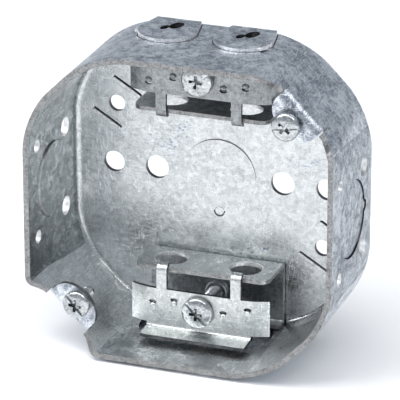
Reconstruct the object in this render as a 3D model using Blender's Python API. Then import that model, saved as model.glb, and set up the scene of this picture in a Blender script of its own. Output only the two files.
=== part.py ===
"""Drawn steel octagon junction box with two inside cable clamps.

The box stands upright: +X is right, +Z is up and the open front faces -Y. The origin is the middle of
the whole box at floor level. Depths are measured from the plane of the front rim towards the back.
"""

from math import cos, pi, radians, sin, sqrt, tan

import bmesh
import bpy
from mathutils import Matrix, Vector

# ---- box shell -------------------------------------------------------------------------------------------
ACROSS = 0.0925            # across the flats of the four straight sides
DIAGONAL_EXCESS = 0.0091   # the four diagonal sides are this much further apart
DEPTH = 0.0381             # rim plane to outer back face
SHEET = 0.0016             # wall and back thickness
BACK_BEND = 0.0032         # outer bend radius between wall and back
CORNER_RADIUS = 0.026      # rounding between a straight side and a diagonal one
EAR_CORNER_RADIUS = 0.005  # the same, at the rim beside an ear
GAP = 0.0003               # clearance between separate pieces

# ---- cover ears, one on each of two opposite diagonals ---------------------------------------------------
COVER_SCREW_INSET = 0.00635  # screw axis from the outer face of its diagonal wall
EAR_DEPTH = 0.0050           # front face of the ear below the rim plane
EAR_BEND = 0.0030            # outer radius of the fold from wall to ear
EAR_HALF_WIDTH = 0.0077
EAR_REACH = 0.0063           # from the end of the fold to the tip
EAR_STRAIGHT = 0.0008        # straight start of the ear's outline
RELIEF = 0.0006              # slit between the ear and the rim beside it
RELIEF_BELOW_FOLD = 0.0005
RIM_DIP = 0.0045             # the rim sinks by this much on its way to the ear

# ---- knockouts and pry-outs ------------------------------------------------------------------------------
KNOCKOUT_DIAMETER = 0.0222
SIDE_KNOCKOUT_SETBACK = 0.0006     # centre behind the middle of the straight wall
PRYOUT_RADIUS = 0.0086
PRYOUT_FROM_BACK = 0.0133          # centre of its round front from the outer back face
PRYOUT_HINGE_FROM_BACK = 0.0039    # its straight back edge, the same way
PRYOUT_BACK_HALF_WIDTH = 0.0067
PRYOUT_RAISE = 0.0011
PRY_SLOT_LENGTH = 0.0070
PRY_SLOT_WIDTH = 0.0024

# ---- holes and ribs --------------------------------------------------------------------------------------
BACK_HOLES = ((0.0071, 0.0193, 0.0), (0.0064, 0.0327, 0.0))   # diameter, x, z
BACK_CORNER_HOLE = (0.0050, 0.0317, 0.0183)
SIDE_HOLES = ((0.0040, -0.01125, 0.0140), (0.0058, 0.00995, 0.0124))   # diameter, behind the knockout, z
RIB_LENGTH = 0.0099
RIB_WIDTH = 0.0013
RIB_HEIGHT = 0.0005
RIB_SLOPE = radians(-31.0)
RIB_CENTRES = ((0.0286, 0.0235), (0.0349, 0.0130))

# ---- cable clamps: heights are measured inwards from the outer face of the wall they stand on ------------
CABLE_SPACING = 0.0227             # between the two cables of one clamp
CABLE_HOLE_DIAMETER = 0.0096
CABLE_HOLE_FROM_BRACKET_BACK = 0.0086
BRACKET_SHEET = 0.0012
BRACKET_MARGIN = 0.00915           # from a cable hole's axis to the bracket's end
BRACKET_BEND = 0.0018
STOP_RISE = 0.02235                # far face of the stop plate
STOP_LENGTH = 0.0158               # its front edge from the bracket's back
STOP_CORNER = 0.0030
BRACKET_BACK_CLEARANCE = 0.0007
BRACKET_FOOT_CLEARANCE = 0.0003    # foot corners to the rounded wall
BRACKET_FOOT_LENGTH = 0.0043
PLATE_SHEET = 0.0010
PLATE_OVERHANG = 0.0007            # the pressure plate is wider than the bracket by this much at each end
PLATE_STOP_CLEARANCE = 0.0005      # pressure plate to the front edge of the stop plate
PLATE_TOP_RISE = 0.01605
PLATE_BOTTOM_RISE = 0.00505
PLATE_END_LENGTH = 0.0082          # the plate's ends curve back over this length
PLATE_END_SWEEP = 0.0020
LIP_SHORTER = 0.0052               # the lip stops this far short of the plate's end
LIP_RISE = 0.00435                 # upper face of its edge
LIP_EDGE_FORWARD = 0.0055          # in front of the plate's front face
LIP_SLOPE = 0.30                   # of the lip, in radians from level
STRAP_WIDTH = 0.0031
HOOK_OVERLAP = 0.0018
HOOK_BEND = 0.0014
SWING = radians(13.0)              # how far a pressure plate tips when its screw is driven

# ---- screws ----------------------------------------------------------------------------------------------
CLAMP_SCREW_RISE = 0.01055
CLAMP_SCREW_DIAMETER = 0.0046
CLAMP_HEAD_DIAMETER = 0.0093
CLAMP_HEAD_HEIGHT = 0.0023
CLAMP_SCREW_TRAVEL = 0.0014
COVER_SCREW_DIAMETER = 0.0041
COVER_HEAD_DIAMETER = 0.0081
COVER_HEAD_HEIGHT = 0.0022
COVER_SCREW_LENGTH = 0.0095
COVER_SCREW_STANDOFF = 0.0019   # underside of the head above the ear, as left from the factory
SCREW_CLEARANCE = 0.0003        # round a shank in its hole
HEAD_DOME_SHARE = 0.45          # how much of a head's height is domed
DRIVE_SLOT_WIDTH = 0.0012
DRIVE_SLOT_DEPTH = 0.0010

# ---- finish ----------------------------------------------------------------------------------------------
ARC_STEPS = 6
BEND_STEPS = 4
HOLE_STEPS = 24
KNOCKOUT_STEPS = 40
SHARP_ANGLE = radians(30.0)
SAME_POINT = 1e-6
GALVANISED = ((0.56, 0.58, 0.60), 0.42)
CLAMP_STEEL = ((0.66, 0.67, 0.67), 0.38)
SCREW_ZINC = ((0.78, 0.79, 0.80), 0.24)

# ---- worked out from the sizes above ---------------------------------------------------------------------
HALF = ACROSS / 2
DIAGONAL = HALF + DIAGONAL_EXCESS / 2
CENTRE_HEIGHT = HALF + PRYOUT_RAISE
SCREW_OFFSET = (DIAGONAL - COVER_SCREW_INSET) / sqrt(2)
SIDE_KNOCKOUT_DEPTH = (DEPTH - BACK_BEND) / 2 + SIDE_KNOCKOUT_SETBACK
PRYOUT_DEPTH = DEPTH - PRYOUT_FROM_BACK
PRYOUT_HINGE_DEPTH = DEPTH - PRYOUT_HINGE_FROM_BACK
BRACKET_HALF_WIDTH = CABLE_SPACING / 2 + BRACKET_MARGIN
BRACKET_BACK_DEPTH = DEPTH - SHEET - BRACKET_BACK_CLEARANCE
CABLE_HOLE_DEPTH = BRACKET_BACK_DEPTH - CABLE_HOLE_FROM_BRACKET_BACK
STOP_HEIGHT = HALF - STOP_RISE
STOP_FRONT_DEPTH = BRACKET_BACK_DEPTH - STOP_LENGTH
HINGE_HEIGHT = STOP_HEIGHT + BRACKET_SHEET / 2
PLATE_FRONT_DEPTH = STOP_FRONT_DEPTH - PLATE_STOP_CLEARANCE - PLATE_SHEET
PLATE_HALF_WIDTH = BRACKET_HALF_WIDTH + PLATE_OVERHANG
PLATE_END_START = PLATE_HALF_WIDTH - PLATE_END_LENGTH
LIP_HALF_WIDTH = PLATE_HALF_WIDTH - LIP_SHORTER
CLAMP_SCREW_HEIGHT = HALF - CLAMP_SCREW_RISE


def at_depth(depth):
    """Y of a plane that lies this deep behind the rim."""
    return depth - DEPTH / 2


def clear_scene():
    for thing in list(bpy.data.objects):
        bpy.data.objects.remove(thing, do_unlink=True)


def finish_material(name, finish):
    colour, roughness = finish
    material = bpy.data.materials.new(name)
    material.use_nodes = True
    shader = material.node_tree.nodes["Principled BSDF"]
    shader.inputs["Base Color"].default_value = (*colour, 1.0)
    shader.inputs["Metallic"].default_value = 1.0
    shader.inputs["Roughness"].default_value = roughness
    return material


def add_object(name, bm, parent=None, finish=None):
    mesh = bpy.data.meshes.new(name)
    bm.to_mesh(mesh)
    bm.free()
    item = bpy.data.objects.new(name, mesh)
    bpy.context.scene.collection.objects.link(item)
    item.parent = parent
    if finish:
        mesh.materials.append(finish_material(name + "_finish", finish))
        mesh.shade_smooth()
        mesh.set_sharp_from_angle(angle=SHARP_ANGLE)
    return item


def add_empty(name, location, turn=0.0):
    empty = bpy.data.objects.new(name, None)
    empty.location = location
    empty.rotation_euler = (0.0, turn, 0.0)
    bpy.context.scene.collection.objects.link(empty)
    return empty


def set_origin(item, point):
    """Move the object's origin to a point of its parent's space, leaving its mesh where it is."""
    item.data.transform(Matrix.Translation(-Vector(point)))
    item.location = point


def cut(item, cutter, operation="DIFFERENCE"):
    cutter.hide_render = True
    cutter.display_type = "WIRE"
    modifier = item.modifiers.new(cutter.name, "BOOLEAN")
    modifier.object = cutter
    modifier.operation = operation
    modifier.solver = "EXACT"


def thicken(item, thickness):
    """Give a sheet its thickness behind the modelled face."""
    modifier = item.modifiers.new("sheet", "SOLIDIFY")
    modifier.thickness = thickness
    modifier.offset = -1.0
    modifier.use_even_offset = True


def add_sheet(bm, rows, cells=None):
    """Quads between rows of points; cells(row, column) says which of them exist."""
    grid = [[bm.verts.new(point) for point in row] for row in rows]
    for r in range(len(grid) - 1):
        for c in range(len(grid[r]) - 1):
            if cells is None or cells(r, c):
                bm.faces.new((grid[r][c], grid[r][c + 1], grid[r + 1][c + 1], grid[r + 1][c]))
    bmesh.ops.delete(bm, geom=[v for v in bm.verts if not v.link_faces], context="VERTS")


def add_prism(bm, outline, low, high, lay):
    """A closed prism over a 2D outline; lay(u, v, w) turns outline and height into a point."""
    bottom = [bm.verts.new(lay(u, v, low)) for u, v in outline]
    top = [bm.verts.new(lay(u, v, high)) for u, v in outline]
    count = len(outline)
    bm.faces.new(bottom)
    bm.faces.new(top)
    for i in range(count):
        bm.faces.new((bottom[i], bottom[(i + 1) % count], top[(i + 1) % count], top[i]))


def close_up(bm):
    bmesh.ops.recalc_face_normals(bm, faces=bm.faces)
    return bm


def circle(radius, steps, u=0.0, v=0.0):
    angles = [2 * pi * i / steps for i in range(steps)]
    return [(u + radius * cos(a), v + radius * sin(a)) for a in angles]


def capsule(length, width, angle, u=0.0, v=0.0):
    """A slot's outline with round ends, turned by angle."""
    points = []
    for end in (1, -1):
        for i in range(ARC_STEPS + 1):
            a = (0.0 if end > 0 else pi) - pi / 2 + pi * i / ARC_STEPS
            x = end * (length - width) / 2 + width / 2 * cos(a)
            y = width / 2 * sin(a)
            points.append((u + x * cos(angle) - y * sin(angle), v + x * sin(angle) + y * cos(angle)))
    return points


def through_back(u, v, w):
    return (u, w, v)


def through_side(u, v, w):
    return (w, u, v)


def through_top(u, v, w):
    return (u, v, w)


# ---- shell -----------------------------------------------------------------------------------------------
def wall_drop(x):
    """How far the inside of a straight wall has curved away towards its corner at this place along it."""
    leg = ACROSS - DIAGONAL * sqrt(2)
    past = max(0.0, x - (HALF - leg - CORNER_RADIUS * tan(pi / 8)))
    radius = CORNER_RADIUS - SHEET
    return radius - sqrt(radius**2 - past**2)


def ear_stations():
    """Where the grid is split along an ear diagonal: relief, ear outline, relief."""
    tab = [EAR_HALF_WIDTH * sin(-pi / 2 + pi * i / (2 * ARC_STEPS)) for i in range(2 * ARC_STEPS + 1)]
    edge = EAR_HALF_WIDTH + RELIEF
    return [-edge] + tab + [edge]


def outline_ring(inset, ear_radius):
    """Points round the box, anticlockwise seen from the front, with each point's place on its side.

    A point is (x, z, along), where along is the distance from the middle of an ear diagonal, or None.
    """
    leg = ACROSS - DIAGONAL * sqrt(2)
    side_half = HALF - leg
    diagonal_half = leg / sqrt(2)
    turn = tan(pi / 8)
    full = diagonal_half - EAR_CORNER_RADIUS * turn
    points = []
    for side in range(8):
        angle = side * pi / 4
        diagonal = side % 2 == 1
        ear = side in (1, 5)
        reach = (DIAGONAL if diagonal else HALF) - inset
        half = diagonal_half if diagonal else side_half
        radius = ear_radius if ear else CORNER_RADIUS
        next_ear = (side + 1) % 8 in (1, 5)
        next_radius = ear_radius if ear or next_ear else CORNER_RADIUS
        flat = half - radius * turn if ear else half
        normal = Vector((cos(angle), sin(angle)))
        along = Vector((-sin(angle), cos(angle)))
        if ear:
            for station in ear_stations():
                spot = normal * reach + along * (station * flat / full)
                points.append((spot.x, spot.y, station))
        corner_reach = half - next_radius * turn
        centre = normal * (reach - (next_radius - inset)) + along * corner_reach
        for i in range(ARC_STEPS + 1):
            a = angle + pi / 4 * i / ARC_STEPS
            spot = centre + Vector((cos(a), sin(a))) * (next_radius - inset)
            beyond = None
            if ear:
                beyond = (spot - normal * reach).dot(along)
            elif next_ear:
                n = Vector((cos(angle + pi / 4), sin(angle + pi / 4)))
                beyond = (spot - n * (DIAGONAL - inset)).dot(Vector((-n.y, n.x)))
            points.append((spot.x, spot.y, beyond))
    return points


def rim_depth(along):
    """The rim plane, sinking on the ear diagonals towards the ear."""
    if along is None:
        return 0.0
    start = (ACROSS - DIAGONAL * sqrt(2)) / sqrt(2)
    end = EAR_HALF_WIDTH + RELIEF
    share = min(1.0, max(0.0, (start - abs(along)) / (start - end)))
    return RIM_DIP * share * share * (3 - 2 * share)


def ear_rows(ring, is_ear):
    """The fold and the ear beyond the wall, as rows over the whole ring."""
    rows = []
    for i in range(1, BEND_STEPS + 1):
        a = pi / 2 * i / BEND_STEPS
        inward = EAR_BEND * (1 - cos(a))
        depth = EAR_DEPTH + EAR_BEND * (1 - sin(a))
        rows.append([inward_point(p, inward, depth) for p in ring])
    tips = []
    for p in ring:
        share = min(1.0, abs(p[2] or 0.0) / EAR_HALF_WIDTH) if is_ear(p) else 1.0
        reach = EAR_STRAIGHT + (EAR_REACH - EAR_STRAIGHT) * sqrt(1 - share * share)
        tips.append(inward_point(p, EAR_BEND + reach, EAR_DEPTH))
    rows.append(tips)
    return rows


def inward_point(p, inward, depth):
    """A point of an ear diagonal moved towards the middle of the box."""
    sign = 1 if p[0] + p[1] > 0 else -1
    step = sign * inward / sqrt(2)
    return (p[0] - step, at_depth(depth), p[1] - step)


def make_box_body(parent):
    """Back, wall, rim and cover ears, drawn from one sheet."""
    bm = bmesh.new()
    fold_depth = EAR_DEPTH + EAR_BEND
    rows = []
    for i in range(BEND_STEPS, -1, -1):
        a = pi / 2 * i / BEND_STEPS
        ring = outline_ring(BACK_BEND * (1 - cos(a)), CORNER_RADIUS)
        depth = DEPTH - BACK_BEND * (1 - sin(a))
        rows.append([(x, at_depth(depth), z) for x, z, _ in ring])
    front = outline_ring(0.0, EAR_CORNER_RADIUS)
    count = len(front)
    rows.append([(x, at_depth(fold_depth + RELIEF_BELOW_FOLD), z) for x, z, _ in front])
    rim = [(x, at_depth(rim_depth(along)), z) for x, z, along in front]
    ear_edge = EAR_HALF_WIDTH + RELIEF / 2

    def is_ear(p):
        return p[2] is not None and abs(p[2]) < ear_edge

    add_sheet(bm, [row + [row[0]] for row in rows])
    bmesh.ops.remove_doubles(bm, verts=bm.verts, dist=SAME_POINT)
    bm.faces.new([find_vertex(bm, point) for point in rows[0]])
    wall = [find_vertex(bm, point) for point in rows[-1]]
    fold = [(x, at_depth(fold_depth), z) for x, z, _ in front]
    strips = [fold] + ear_rows(front, is_ear)
    for i in range(count):
        j = (i + 1) % count
        if is_ear(front[i]) and is_ear(front[j]):
            below = (wall[i], wall[j])
            for strip in strips:
                above = (find_or_add(bm, strip[i]), find_or_add(bm, strip[j]))
                bm.faces.new((below[0], below[1], above[1], above[0]))
                below = above
        elif not is_ear(front[i]) and not is_ear(front[j]):
            above = (find_or_add(bm, rim[i]), find_or_add(bm, rim[j]))
            bm.faces.new((wall[i], wall[j], above[1], above[0]))
    close_up(bm)
    body = add_object("box_body", bm, parent, GALVANISED)
    thicken(body, SHEET)
    cut(body, make_ribs(parent), "UNION")
    cut(body, make_hole_cutter(parent))
    return body


def find_vertex(bm, point):
    goal = Vector(point)
    return min(bm.verts, key=lambda v: (v.co - goal).length_squared)


def find_or_add(bm, point):
    nearest = find_vertex(bm, point)
    if (nearest.co - Vector(point)).length < SAME_POINT:
        return nearest
    return bm.verts.new(point)


def make_ribs(parent):
    """Short raised ribs inside the back, two in each of two opposite corners."""
    bm = bmesh.new()
    inside = DEPTH - SHEET
    for side in (1, -1):
        for u, v in RIB_CENTRES:
            outline = capsule(RIB_LENGTH, RIB_WIDTH, RIB_SLOPE, -side * u, side * v)
            add_prism(bm, outline, at_depth(inside - RIB_HEIGHT), at_depth(inside + SHEET / 2), through_back)
    return add_object("back_ribs_cutter", close_up(bm), parent)


def pryout_outline(centre_x, grow=0.0):
    """Round towards the rim, narrowing to a straight edge at the back."""
    radius = PRYOUT_RADIUS + grow
    back_half = PRYOUT_BACK_HALF_WIDTH + grow
    middle = at_depth(PRYOUT_DEPTH)
    points = [(centre_x + back_half, at_depth(PRYOUT_HINGE_DEPTH) + grow)]
    for i in range(KNOCKOUT_STEPS // 2 + 1):
        a = -pi * i / (KNOCKOUT_STEPS // 2)
        points.append((centre_x + radius * cos(a), middle + radius * sin(a)))
    points.append((centre_x - back_half, at_depth(PRYOUT_HINGE_DEPTH) + grow))
    return points


def make_hole_cutter(parent):
    """Every opening of the shell, as one set of prisms."""
    bm = bmesh.new()
    back_low = at_depth(DEPTH - 2 * SHEET)
    back_high = at_depth(DEPTH + SHEET)
    hole_radius = KNOCKOUT_DIAMETER / 2 + GAP
    add_prism(bm, circle(hole_radius, KNOCKOUT_STEPS), back_low, back_high, through_back)
    for side in (1, -1):
        for diameter, x, z in BACK_HOLES:
            add_prism(bm, circle(diameter / 2, HOLE_STEPS, side * x, z), back_low, back_high, through_back)
        diameter, x, z = BACK_CORNER_HOLE
        outline = circle(diameter / 2, HOLE_STEPS, -side * x, side * z)
        add_prism(bm, outline, back_low, back_high, through_back)
        passage = CLAMP_SCREW_DIAMETER / 2 + 2 * SCREW_CLEARANCE
        outline = circle(passage, HOLE_STEPS, 0.0, side * CLAMP_SCREW_HEIGHT)
        add_prism(bm, outline, back_low, back_high, through_back)
        inner, outer = sorted((side * (HALF - 2 * SHEET), side * (HALF + SHEET)))
        centre = at_depth(SIDE_KNOCKOUT_DEPTH)
        add_prism(bm, circle(hole_radius, KNOCKOUT_STEPS, centre), inner, outer, through_side)
        for diameter, behind, z in SIDE_HOLES:
            for end in (1, -1):
                outline = circle(diameter / 2, HOLE_STEPS, centre + behind, end * z)
                add_prism(bm, outline, inner, outer, through_side)
        for end in (1, -1):
            outline = pryout_outline(end * CABLE_SPACING / 2, GAP)
            add_prism(bm, outline, inner, outer, through_top)
        tapped = COVER_SCREW_DIAMETER / 2 + SCREW_CLEARANCE
        outline = circle(tapped, HOLE_STEPS, side * SCREW_OFFSET, side * SCREW_OFFSET)
        add_prism(bm, outline, at_depth(EAR_DEPTH - SHEET), at_depth(EAR_DEPTH + 2 * SHEET), through_back)
    return add_object("box_holes_cutter", close_up(bm), parent)


# ---- knockouts -------------------------------------------------------------------------------------------
def make_back_knockout(parent):
    bm = bmesh.new()
    outline = circle(KNOCKOUT_DIAMETER / 2, KNOCKOUT_STEPS)
    add_prism(bm, outline, at_depth(DEPTH - SHEET), at_depth(DEPTH), through_back)
    disc = add_object("back_knockout", close_up(bm), parent, GALVANISED)
    set_origin(disc, (0.0, at_depth(DEPTH - SHEET), -KNOCKOUT_DIAMETER / 2))


def make_side_knockout(parent, name, side):
    bm = bmesh.new()
    outline = circle(KNOCKOUT_DIAMETER / 2, KNOCKOUT_STEPS, at_depth(SIDE_KNOCKOUT_DEPTH))
    inner, outer = sorted((side * (HALF - SHEET), side * HALF))
    add_prism(bm, outline, inner, outer, through_side)
    disc = add_object(name, close_up(bm), parent, GALVANISED)
    hinge_y = at_depth(SIDE_KNOCKOUT_DEPTH + KNOCKOUT_DIAMETER / 2)
    set_origin(disc, (side * (HALF - SHEET), hinge_y, 0.0))


def make_pryout(parent, name, across, up):
    """A pry-out stands a little proud of the wall and has a screwdriver slot."""
    x = across * CABLE_SPACING / 2
    bm = bmesh.new()
    inner, outer = sorted((up * (HALF - SHEET + PRYOUT_RAISE), up * (HALF + PRYOUT_RAISE)))
    add_prism(bm, pryout_outline(x), inner, outer, through_top)
    item = add_object(name, close_up(bm), parent, GALVANISED)
    slot = bmesh.new()
    outline = capsule(PRY_SLOT_LENGTH, PRY_SLOT_WIDTH, up * pi / 4, x, at_depth(CABLE_HOLE_DEPTH))
    add_prism(slot, outline, inner - SHEET, outer + SHEET, through_top)
    cutter = add_object(name + "_slot_cutter", close_up(slot), parent)
    cut(item, cutter)
    for thing in (item, cutter):
        set_origin(thing, (x, at_depth(PRYOUT_HINGE_DEPTH), up * (HALF + PRYOUT_RAISE)))


# ---- clamps ----------------------------------------------------------------------------------------------
def bracket_path():
    """Side view of the bracket's outer face, from the stop plate's front edge to the foot."""
    path = []
    back = BRACKET_BACK_DEPTH
    foot = HALF - SHEET - wall_drop(BRACKET_HALF_WIDTH) - BRACKET_FOOT_CLEARANCE
    for i in range(BEND_STEPS + 1):
        a = pi / 2 * i / BEND_STEPS
        path.append((back - BRACKET_BEND * (1 - sin(a)), -STOP_HEIGHT - BRACKET_BEND * (1 - cos(a))))
    for i in range(BEND_STEPS + 1):
        a = pi / 2 * i / BEND_STEPS
        path.append((back - BRACKET_BEND * (1 - cos(a)), -foot + BRACKET_BEND * (1 - sin(a))))
    path.append((back - BRACKET_FOOT_LENGTH, -foot))
    return path


def bracket_stations():
    straight = BRACKET_HALF_WIDTH - STOP_CORNER
    corner = [straight + STOP_CORNER * sin(pi / 2 * i / ARC_STEPS) for i in range(ARC_STEPS + 1)]
    return [-x for x in reversed(corner)] + corner


def make_clamp_bracket(parent, name):
    """Stop plate, back and foot, bent from one sheet, with the cable holes and the screw's hole."""
    bm = bmesh.new()
    stations = bracket_stations()
    front = []
    for x in stations:
        past = max(0.0, abs(x) - (BRACKET_HALF_WIDTH - STOP_CORNER))
        setback = STOP_CORNER - sqrt(max(0.0, STOP_CORNER**2 - past**2))
        front.append((x, at_depth(STOP_FRONT_DEPTH + setback), -STOP_HEIGHT))
    rows = [front] + [[(x, at_depth(d), z) for x in stations] for d, z in bracket_path()]
    add_sheet(bm, rows)
    bm.normal_update()
    bracket = add_object(name, bm, parent, CLAMP_STEEL)
    thicken(bracket, BRACKET_SHEET)
    holes = bmesh.new()
    below = -STOP_HEIGHT - 2 * BRACKET_SHEET
    for side in (1, -1):
        x = side * CABLE_SPACING / 2
        outline = circle(CABLE_HOLE_DIAMETER / 2, HOLE_STEPS, x, at_depth(CABLE_HOLE_DEPTH))
        add_prism(holes, outline, below, -STOP_HEIGHT + BRACKET_SHEET, through_top)
    shank = circle(CLAMP_SCREW_DIAMETER / 2 + SCREW_CLEARANCE, HOLE_STEPS, 0.0, -CLAMP_SCREW_HEIGHT)
    low = at_depth(BRACKET_BACK_DEPTH - 2 * BRACKET_SHEET)
    add_prism(holes, shank, low, at_depth(BRACKET_BACK_DEPTH + BRACKET_BACK_CLEARANCE / 2), through_back)
    cut(bracket, add_object(name + "_holes_cutter", close_up(holes), parent))


def plate_stations():
    """Where the pressure plate's grid is split across its width."""
    strap = CABLE_SPACING / 2
    ends = [PLATE_END_START + PLATE_END_LENGTH * i / ARC_STEPS for i in range(ARC_STEPS + 1)]
    half = sorted(set(ends) | {LIP_HALF_WIDTH, strap - STRAP_WIDTH / 2, strap + STRAP_WIDTH / 2})
    return [-x for x in reversed(half)] + half


def make_clamp_plate(parent, name):
    """Pressure plate with two straps that hook over the stop plate and a lip bent forward."""
    front = PLATE_FRONT_DEPTH
    stations = plate_stations()
    lip_bend = 2 * PLATE_SHEET
    bottom = PLATE_BOTTOM_RISE - HALF
    hook_top = -STOP_HEIGHT + GAP + PLATE_SHEET
    path = [(front - LIP_EDGE_FORWARD, LIP_RISE - HALF)]
    for i in range(ARC_STEPS // 2 + 1):
        a = (pi / 2 - LIP_SLOPE) * (1 - 2 * i / ARC_STEPS)
        path.append((front - lip_bend * (1 - cos(a)), bottom - lip_bend * sin(a)))
    lip_rows = len(path) - 1
    path.append((front, PLATE_TOP_RISE - HALF))
    strap_row = len(path) - 1
    for i in range(BEND_STEPS + 1):
        a = pi / 2 * i / BEND_STEPS
        path.append((front + HOOK_BEND * (1 - cos(a)), hook_top - HOOK_BEND * (1 - sin(a))))
    path.append((STOP_FRONT_DEPTH + HOOK_OVERLAP, hook_top))
    rows = []
    for d, z in path:
        row = []
        for x in stations:
            past = max(0.0, (abs(x) - PLATE_END_START) / PLATE_END_LENGTH)
            row.append((x, at_depth(d + PLATE_END_SWEEP * past * past), z))
        rows.append(row)

    def cells(r, c):
        middle = abs(stations[c] + stations[c + 1]) / 2
        if r < lip_rows:
            return middle < LIP_HALF_WIDTH
        if r < strap_row:
            return True
        return abs(middle - CABLE_SPACING / 2) < STRAP_WIDTH / 2

    bm = bmesh.new()
    add_sheet(bm, rows, cells)
    bm.normal_update()
    plate = add_object(name, bm, parent, CLAMP_STEEL)
    thicken(plate, PLATE_SHEET)
    lever = CLAMP_SCREW_HEIGHT - HINGE_HEIGHT
    drop = lever / cos(SWING) - lever + PLATE_SHEET * tan(SWING)
    width = CLAMP_SCREW_DIAMETER + 2 * SCREW_CLEARANCE
    outline = capsule(width + drop, width, pi / 2, 0.0, -CLAMP_SCREW_HEIGHT - drop / 2)
    slot = bmesh.new()
    add_prism(slot, outline, at_depth(front - PLATE_SHEET), at_depth(front + 2 * PLATE_SHEET), through_back)
    cutter = add_object(name + "_slot_cutter", close_up(slot), parent)
    cut(plate, cutter)
    for thing in (plate, cutter):
        set_origin(thing, (0.0, at_depth(STOP_FRONT_DEPTH), -HINGE_HEIGHT))


# ---- screws ----------------------------------------------------------------------------------------------
def make_screw(parent, name, place, diameter, head_diameter, head_height, length, slot_turn):
    """A pan-head machine screw along Y, its head towards -Y and its seat at its origin."""
    head = head_diameter / 2
    shank = diameter / 2
    dome = head_height * HEAD_DOME_SHARE
    profile = [(0.0, -head_height)]
    for i in range(1, ARC_STEPS + 1):
        a = pi / 2 * i / ARC_STEPS
        profile.append((head * sin(a), -head_height + dome * (1 - cos(a))))
    profile += [(head, 0.0), (shank, 0.0), (shank, length - shank / 2), (shank / 2, length), (0.0, length)]
    bm = bmesh.new()
    rings = []
    for r, y in profile:
        spots = circle(r, HOLE_STEPS) if r > 0.0 else [(0.0, 0.0)]
        rings.append([bm.verts.new((u, y, v)) for u, v in spots])
    for low, high in zip(rings, rings[1:]):
        for i in range(HOLE_STEPS):
            j = (i + 1) % HOLE_STEPS
            corners = [low[i % len(low)], low[j % len(low)], high[j % len(high)], high[i % len(high)]]
            bm.faces.new(list(dict.fromkeys(corners)))
    screw = add_object(name, close_up(bm), parent, SCREW_ZINC)
    screw.location = place
    slot = bmesh.new()
    half = DRIVE_SLOT_WIDTH / 2
    bar = [(-head_diameter, -half), (head_diameter, -half), (head_diameter, half), (-head_diameter, half)]
    across, up = cos(slot_turn), sin(slot_turn)
    outline = [(u * across - v * up, u * up + v * across) for u, v in bar]
    add_prism(slot, outline, -head_height - DRIVE_SLOT_DEPTH, -head_height + DRIVE_SLOT_DEPTH, through_back)
    cutter = add_object(name + "_slot_cutter", close_up(slot), parent)
    cutter.location = place
    cut(screw, cutter)


def make_clamp(name, turn, slot_turn):
    """One clamp; the upper one is the lower one turned half way round about Y."""
    seat = add_empty(name + "_clamp_seat", (0.0, 0.0, CENTRE_HEIGHT), turn)
    make_clamp_bracket(seat, name + "_clamp_bracket")
    make_clamp_plate(seat, name + "_clamp_plate")
    head_seat = PLATE_FRONT_DEPTH - GAP
    length = DEPTH - CLAMP_SCREW_TRAVEL - head_seat
    place = (0.0, at_depth(head_seat), -CLAMP_SCREW_HEIGHT)
    make_screw(
        seat, name + "_clamp_screw", place, CLAMP_SCREW_DIAMETER, CLAMP_HEAD_DIAMETER, CLAMP_HEAD_HEIGHT,
        length, slot_turn,
    )


def make_cover_screw(parent, name, side, slot_turn):
    seat = EAR_DEPTH - COVER_SCREW_STANDOFF
    place = (side * SCREW_OFFSET, at_depth(seat), side * SCREW_OFFSET)
    make_screw(
        parent, name, place, COVER_SCREW_DIAMETER, COVER_HEAD_DIAMETER, COVER_HEAD_HEIGHT,
        COVER_SCREW_LENGTH, slot_turn,
    )


def main():
    clear_scene()
    centre = add_empty("box_centre", (0.0, 0.0, CENTRE_HEIGHT))
    make_box_body(centre)
    make_back_knockout(centre)
    make_side_knockout(centre, "left_knockout", -1)
    make_side_knockout(centre, "right_knockout", 1)
    make_pryout(centre, "top_left_pryout", -1, 1)
    make_pryout(centre, "top_right_pryout", 1, 1)
    make_pryout(centre, "bottom_left_pryout", -1, -1)
    make_pryout(centre, "bottom_right_pryout", 1, -1)
    make_clamp("lower", 0.0, radians(225))
    make_clamp("upper", pi, radians(40))
    make_cover_screw(centre, "lower_cover_screw", -1, radians(-50))
    make_cover_screw(centre, "upper_cover_screw", 1, radians(8))
    bpy.context.view_layer.update()


main()
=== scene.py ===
# %% [markdown]
# # A steel octagon junction box
# This is the box that an electrician fixes to a ceiling joist: one drawn shell of galvanised steel, discs and
# tabs that can be knocked out to let cables in, two small clamps inside, and two screws for the cover. The
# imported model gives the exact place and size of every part. The cells below keep that frame and build the
# finer surface around it, one piece at a time, much as one would by hand.

# %% Load the frame and measure it
from math import cos, pi, radians, sin, sqrt, tan

import bmesh
import bpy
from mathutils import Matrix, Vector


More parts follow.
